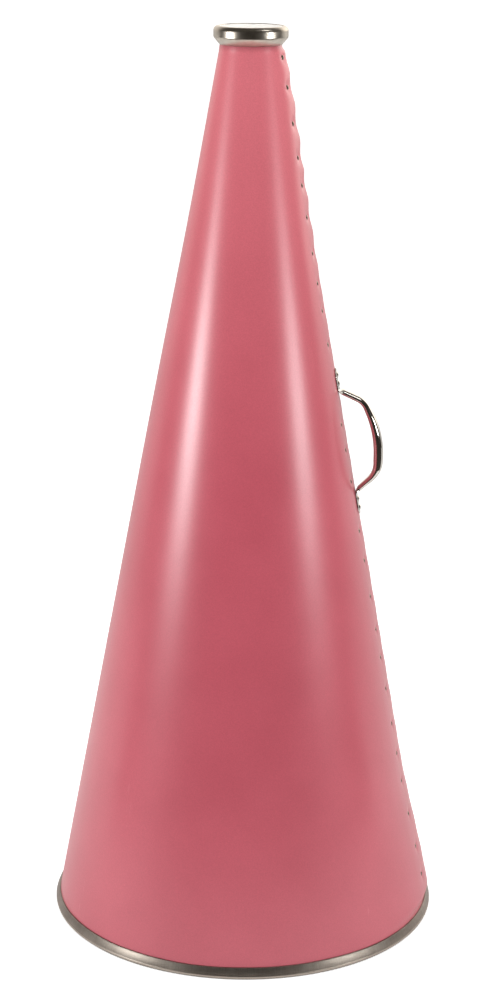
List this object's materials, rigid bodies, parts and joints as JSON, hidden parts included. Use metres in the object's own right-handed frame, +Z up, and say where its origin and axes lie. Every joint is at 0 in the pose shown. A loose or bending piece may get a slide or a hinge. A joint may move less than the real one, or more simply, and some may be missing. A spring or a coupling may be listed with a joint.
{
  "type": "cheer megaphone",
  "caption": "Tall conical cheer megaphone of coated board with a metal mouthpiece ring, a metal bell rim, a riveted lap seam and a side carrying handle.",
  "frame": {"origin": "middle of the bell rim's lower face, on the cone's axis", "axes": "+Z up along the cone's axis from the bell to the mouthpiece; +X from the axis towards the handle"},
  "size_m": [0.3547, 0.3548, 0.813],
  "materials": {
    "coated_board": "satin coated board, muted rose",
    "nickel": "satin nickel plate",
    "bright_nickel": "polished nickel plate",
    "rim_steel": "fine brushed steel",
    "liner_white": "smooth white"
  },
  "bodies": {
    "root": {"cone_shell": "coated_board", "mouthpiece_ring": "nickel", "mouthpiece_liner": "liner_white", "bell_rim": "rim_steel", "handle": "bright_nickel", "handle_rivets": "bright_nickel", "handle_washers": "nickel", "seam_rivets": "nickel"}
  },
  "joints": []
}
